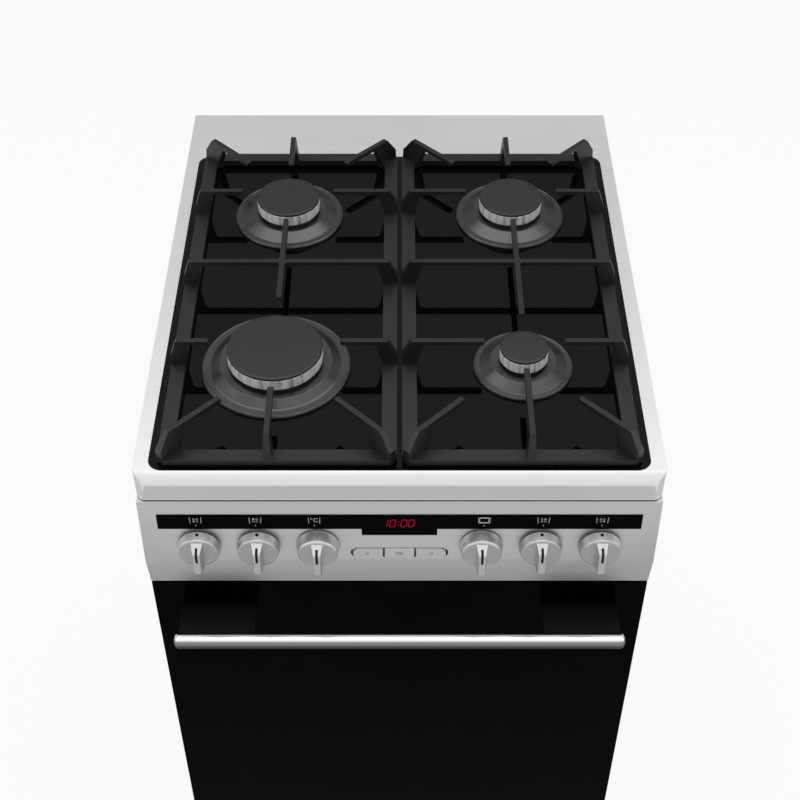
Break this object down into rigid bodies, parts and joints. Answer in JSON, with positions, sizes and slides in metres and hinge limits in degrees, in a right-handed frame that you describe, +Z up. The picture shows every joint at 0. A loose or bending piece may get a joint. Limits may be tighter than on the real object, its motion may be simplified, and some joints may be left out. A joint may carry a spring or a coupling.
{
  "type": "freestanding gas cooker with electric oven",
  "caption": "Freestanding cooker: gas burners under lift-off cast grates, knobs and buttons on a steel front, an electric oven with a drop-down glass door, and a drawer.",
  "frame": {"origin": "on the floor, under the middle of the whole cooker's box", "axes": "+X to the cooker's right as seen from the front, +Y towards its rear, +Z up; the door faces -Y"},
  "size_m": [0.5, 0.65, 0.885],
  "materials": {
    "stainless": "fine brushed stainless sheet",
    "black_enamel": "glossy black vitreous enamel",
    "cast_iron": "matte black enamelled casting",
    "bright_aluminium": "bright die-cast aluminium",
    "brass": "turned brass",
    "ceramic": "white glazed ceramic",
    "copper": "copper probe",
    "galvanised_steel": "grey galvanised sheet",
    "gloss_black": "gloss black window",
    "board_plastic": "moulded plastic",
    "grey_enamel": "dark grey speckled enamel",
    "glass_wool": "glass wool mat",
    "dark_element": "oxidised tubular element",
    "lamp_glass": "clear lamp cover",
    "chromed_wire": "chromed wire",
    "black_rubber": "black rubber",
    "black_plastic": "black moulded plastic",
    "black_glass": "black gloss glass",
    "clear_glass": "tinted heat glass",
    "brushed_bar": "brushed round bar",
    "satin_silver": "satin silver"
  },
  "bodies": {
    "cooker": {"hob_surround": "stainless", "hob_plate": "black_enamel", "burner_cups": "bright_aluminium", "gas_jets": "brass", "burner_skirts": "black_enamel", "burner_crowns": "bright_aluminium", "burner_caps": "black_enamel", "spark_electrodes": "ceramic", "thermocouples": "copper", "gas_manifold": "galvanised_steel", "gas_taps": "bright_aluminium", "burner_pipes": "galvanised_steel", "control_panel": "stainless", "display_strip": "gloss_black", "clock_module": "board_plastic", "oven_thermostat": "galvanised_steel", "function_switch": "board_plastic", "side_panel_left": "galvanised_steel", "side_panel_right": "galvanised_steel", "rear_panel": "galvanised_steel", "base_frame": "galvanised_steel", "front_frame": "grey_enamel", "oven_cavity": "grey_enamel", "insulation": "glass_wool", "grill_element": "dark_element", "bottom_element": "dark_element", "oven_lamp": "lamp_glass", "shelf_rails": "chromed_wire", "door_seal": "black_rubber", "hinge_arms": "galvanised_steel", "terminal_box": "black_plastic", "spark_generator": "board_plastic", "panel_screws": "chromed_wire", "clamp_rings": "galvanised_steel"},
    "feet": {"levelling_feet": "black_rubber"},
    "door": {"door_outer_glass": "black_glass", "door_inner_glass": "clear_glass", "door_frame": "grey_enamel", "door_handle": "brushed_bar", "handle_brackets": "black_plastic", "hinge_cases": "galvanised_steel"},
    "drawer": {"drawer_front": "stainless", "drawer_box": "galvanised_steel"},
    "shelf": {"wire_shelf": "chromed_wire"},
    "tray": {"baking_tray": "grey_enamel"},
    "grate_left": {"grate_left": "cast_iron"},
    "grate_right": {"grate_right": "cast_iron"},
    "spindle_front_left": {"spindle_front_left": "brass"},
    "knob_front_left": {"knob_front_left": "satin_silver"},
    "spindle_rear_left": {"spindle_rear_left": "brass"},
    "knob_rear_left": {"knob_rear_left": "satin_silver"},
    "spindle_rear_right": {"spindle_rear_right": "brass"},
    "knob_rear_right": {"knob_rear_right": "satin_silver"},
    "spindle_front_right": {"spindle_front_right": "brass"},
    "knob_front_right": {"knob_front_right": "satin_silver"},
    "knob_temperature": {"knob_temperature": "satin_silver"},
    "knob_function": {"knob_function": "satin_silver"},
    "button_down": {"button_down": "satin_silver"},
    "button_ok": {"button_ok": "satin_silver"},
    "button_up": {"button_up": "satin_silver"}
  },
  "joints": [
    {"name": "feet_height", "type": "slide", "parent": "cooker", "child": "feet", "axis": [0, 0, 1], "range_m": [-0.015, 0]},
    {"name": "door_hinge", "type": "hinge", "parent": "cooker", "child": "door", "pos_m": [0, -0.263, 0.232], "axis": [1, 0, 0], "range_deg": [0, 90]},
    {"name": "drawer_slide", "type": "slide", "parent": "cooker", "child": "drawer", "axis": [0, -1, 0], "range_m": [0, 0.35]},
    {"name": "shelf_slide", "type": "slide", "parent": "cooker", "child": "shelf", "axis": [0, -1, 0], "range_m": [0, 0.035]},
    {"name": "tray_slide", "type": "slide", "parent": "cooker", "child": "tray", "axis": [0, -1, 0], "range_m": [0, 0.035]},
    {"name": "grate_left_lift", "type": "slide", "parent": "cooker", "child": "grate_left", "axis": [0, 0, 1], "range_m": [0, 0.06]},
    {"name": "grate_right_lift", "type": "slide", "parent": "cooker", "child": "grate_right", "axis": [0, 0, 1], "range_m": [0, 0.06]},
    {"name": "push_front_left", "type": "slide", "parent": "cooker", "child": "spindle_front_left", "axis": [0, 0.9969, -0.0787], "range_m": [0, 0.003], "stiffness_N_per_m": 1500},
    {"name": "turn_front_left", "type": "hinge", "parent": "spindle_front_left", "child": "knob_front_left", "pos_m": [-0.194, -0.28968, 0.75896], "axis": [0, -0.9969, 0.0787], "range_deg": [0, 210]},
    {"name": "push_rear_left", "type": "slide", "parent": "cooker", "child": "spindle_rear_left", "axis": [0, 0.9969, -0.0787], "range_m": [0, 0.003], "stiffness_N_per_m": 1500},
    {"name": "turn_rear_left", "type": "hinge", "parent": "spindle_rear_left", "child": "knob_rear_left", "pos_m": [-0.1365, -0.28968, 0.75896], "axis": [0, -0.9969, 0.0787], "range_deg": [0, 210]},
    {"name": "push_rear_right", "type": "slide", "parent": "cooker", "child": "spindle_rear_right", "axis": [0, 0.9969, -0.0787], "range_m": [0, 0.003], "stiffness_N_per_m": 1500},
    {"name": "turn_rear_right", "type": "hinge", "parent": "spindle_rear_right", "child": "knob_rear_right", "pos_m": [0.1365, -0.28968, 0.75896], "axis": [0, -0.9969, 0.0787], "range_deg": [0, 210]},
    {"name": "push_front_right", "type": "slide", "parent": "cooker", "child": "spindle_front_right", "axis": [0, 0.9969, -0.0787], "range_m": [0, 0.003], "stiffness_N_per_m": 1500},
    {"name": "turn_front_right", "type": "hinge", "parent": "spindle_front_right", "child": "knob_front_right", "pos_m": [0.194, -0.28968, 0.75896], "axis": [0, -0.9969, 0.0787], "range_deg": [0, 210]},
    {"name": "turn_temperature", "type": "hinge", "parent": "cooker", "child": "knob_temperature", "pos_m": [-0.079, -0.28968, 0.75896], "axis": [0, -0.9969, 0.0787], "range_deg": [-290, 0]},
    {"name": "turn_function", "type": "hinge", "parent": "cooker", "child": "knob_function", "pos_m": [0.079, -0.28968, 0.75896], "axis": [0, -0.9969, 0.0787], "continuous": true},
    {"name": "press_down", "type": "slide", "parent": "cooker", "child": "button_down", "axis": [0, 0.9969, -0.0787], "range_m": [0, 0.0012], "stiffness_N_per_m": 900},
    {"name": "press_ok", "type": "slide", "parent": "cooker", "child": "button_ok", "axis": [0, 0.9969, -0.0787], "range_m": [0, 0.0012], "stiffness_N_per_m": 900},
    {"name": "press_up", "type": "slide", "parent": "cooker", "child": "button_up", "axis": [0, 0.9969, -0.0787], "range_m": [0, 0.0012], "stiffness_N_per_m": 900}
  ]
}
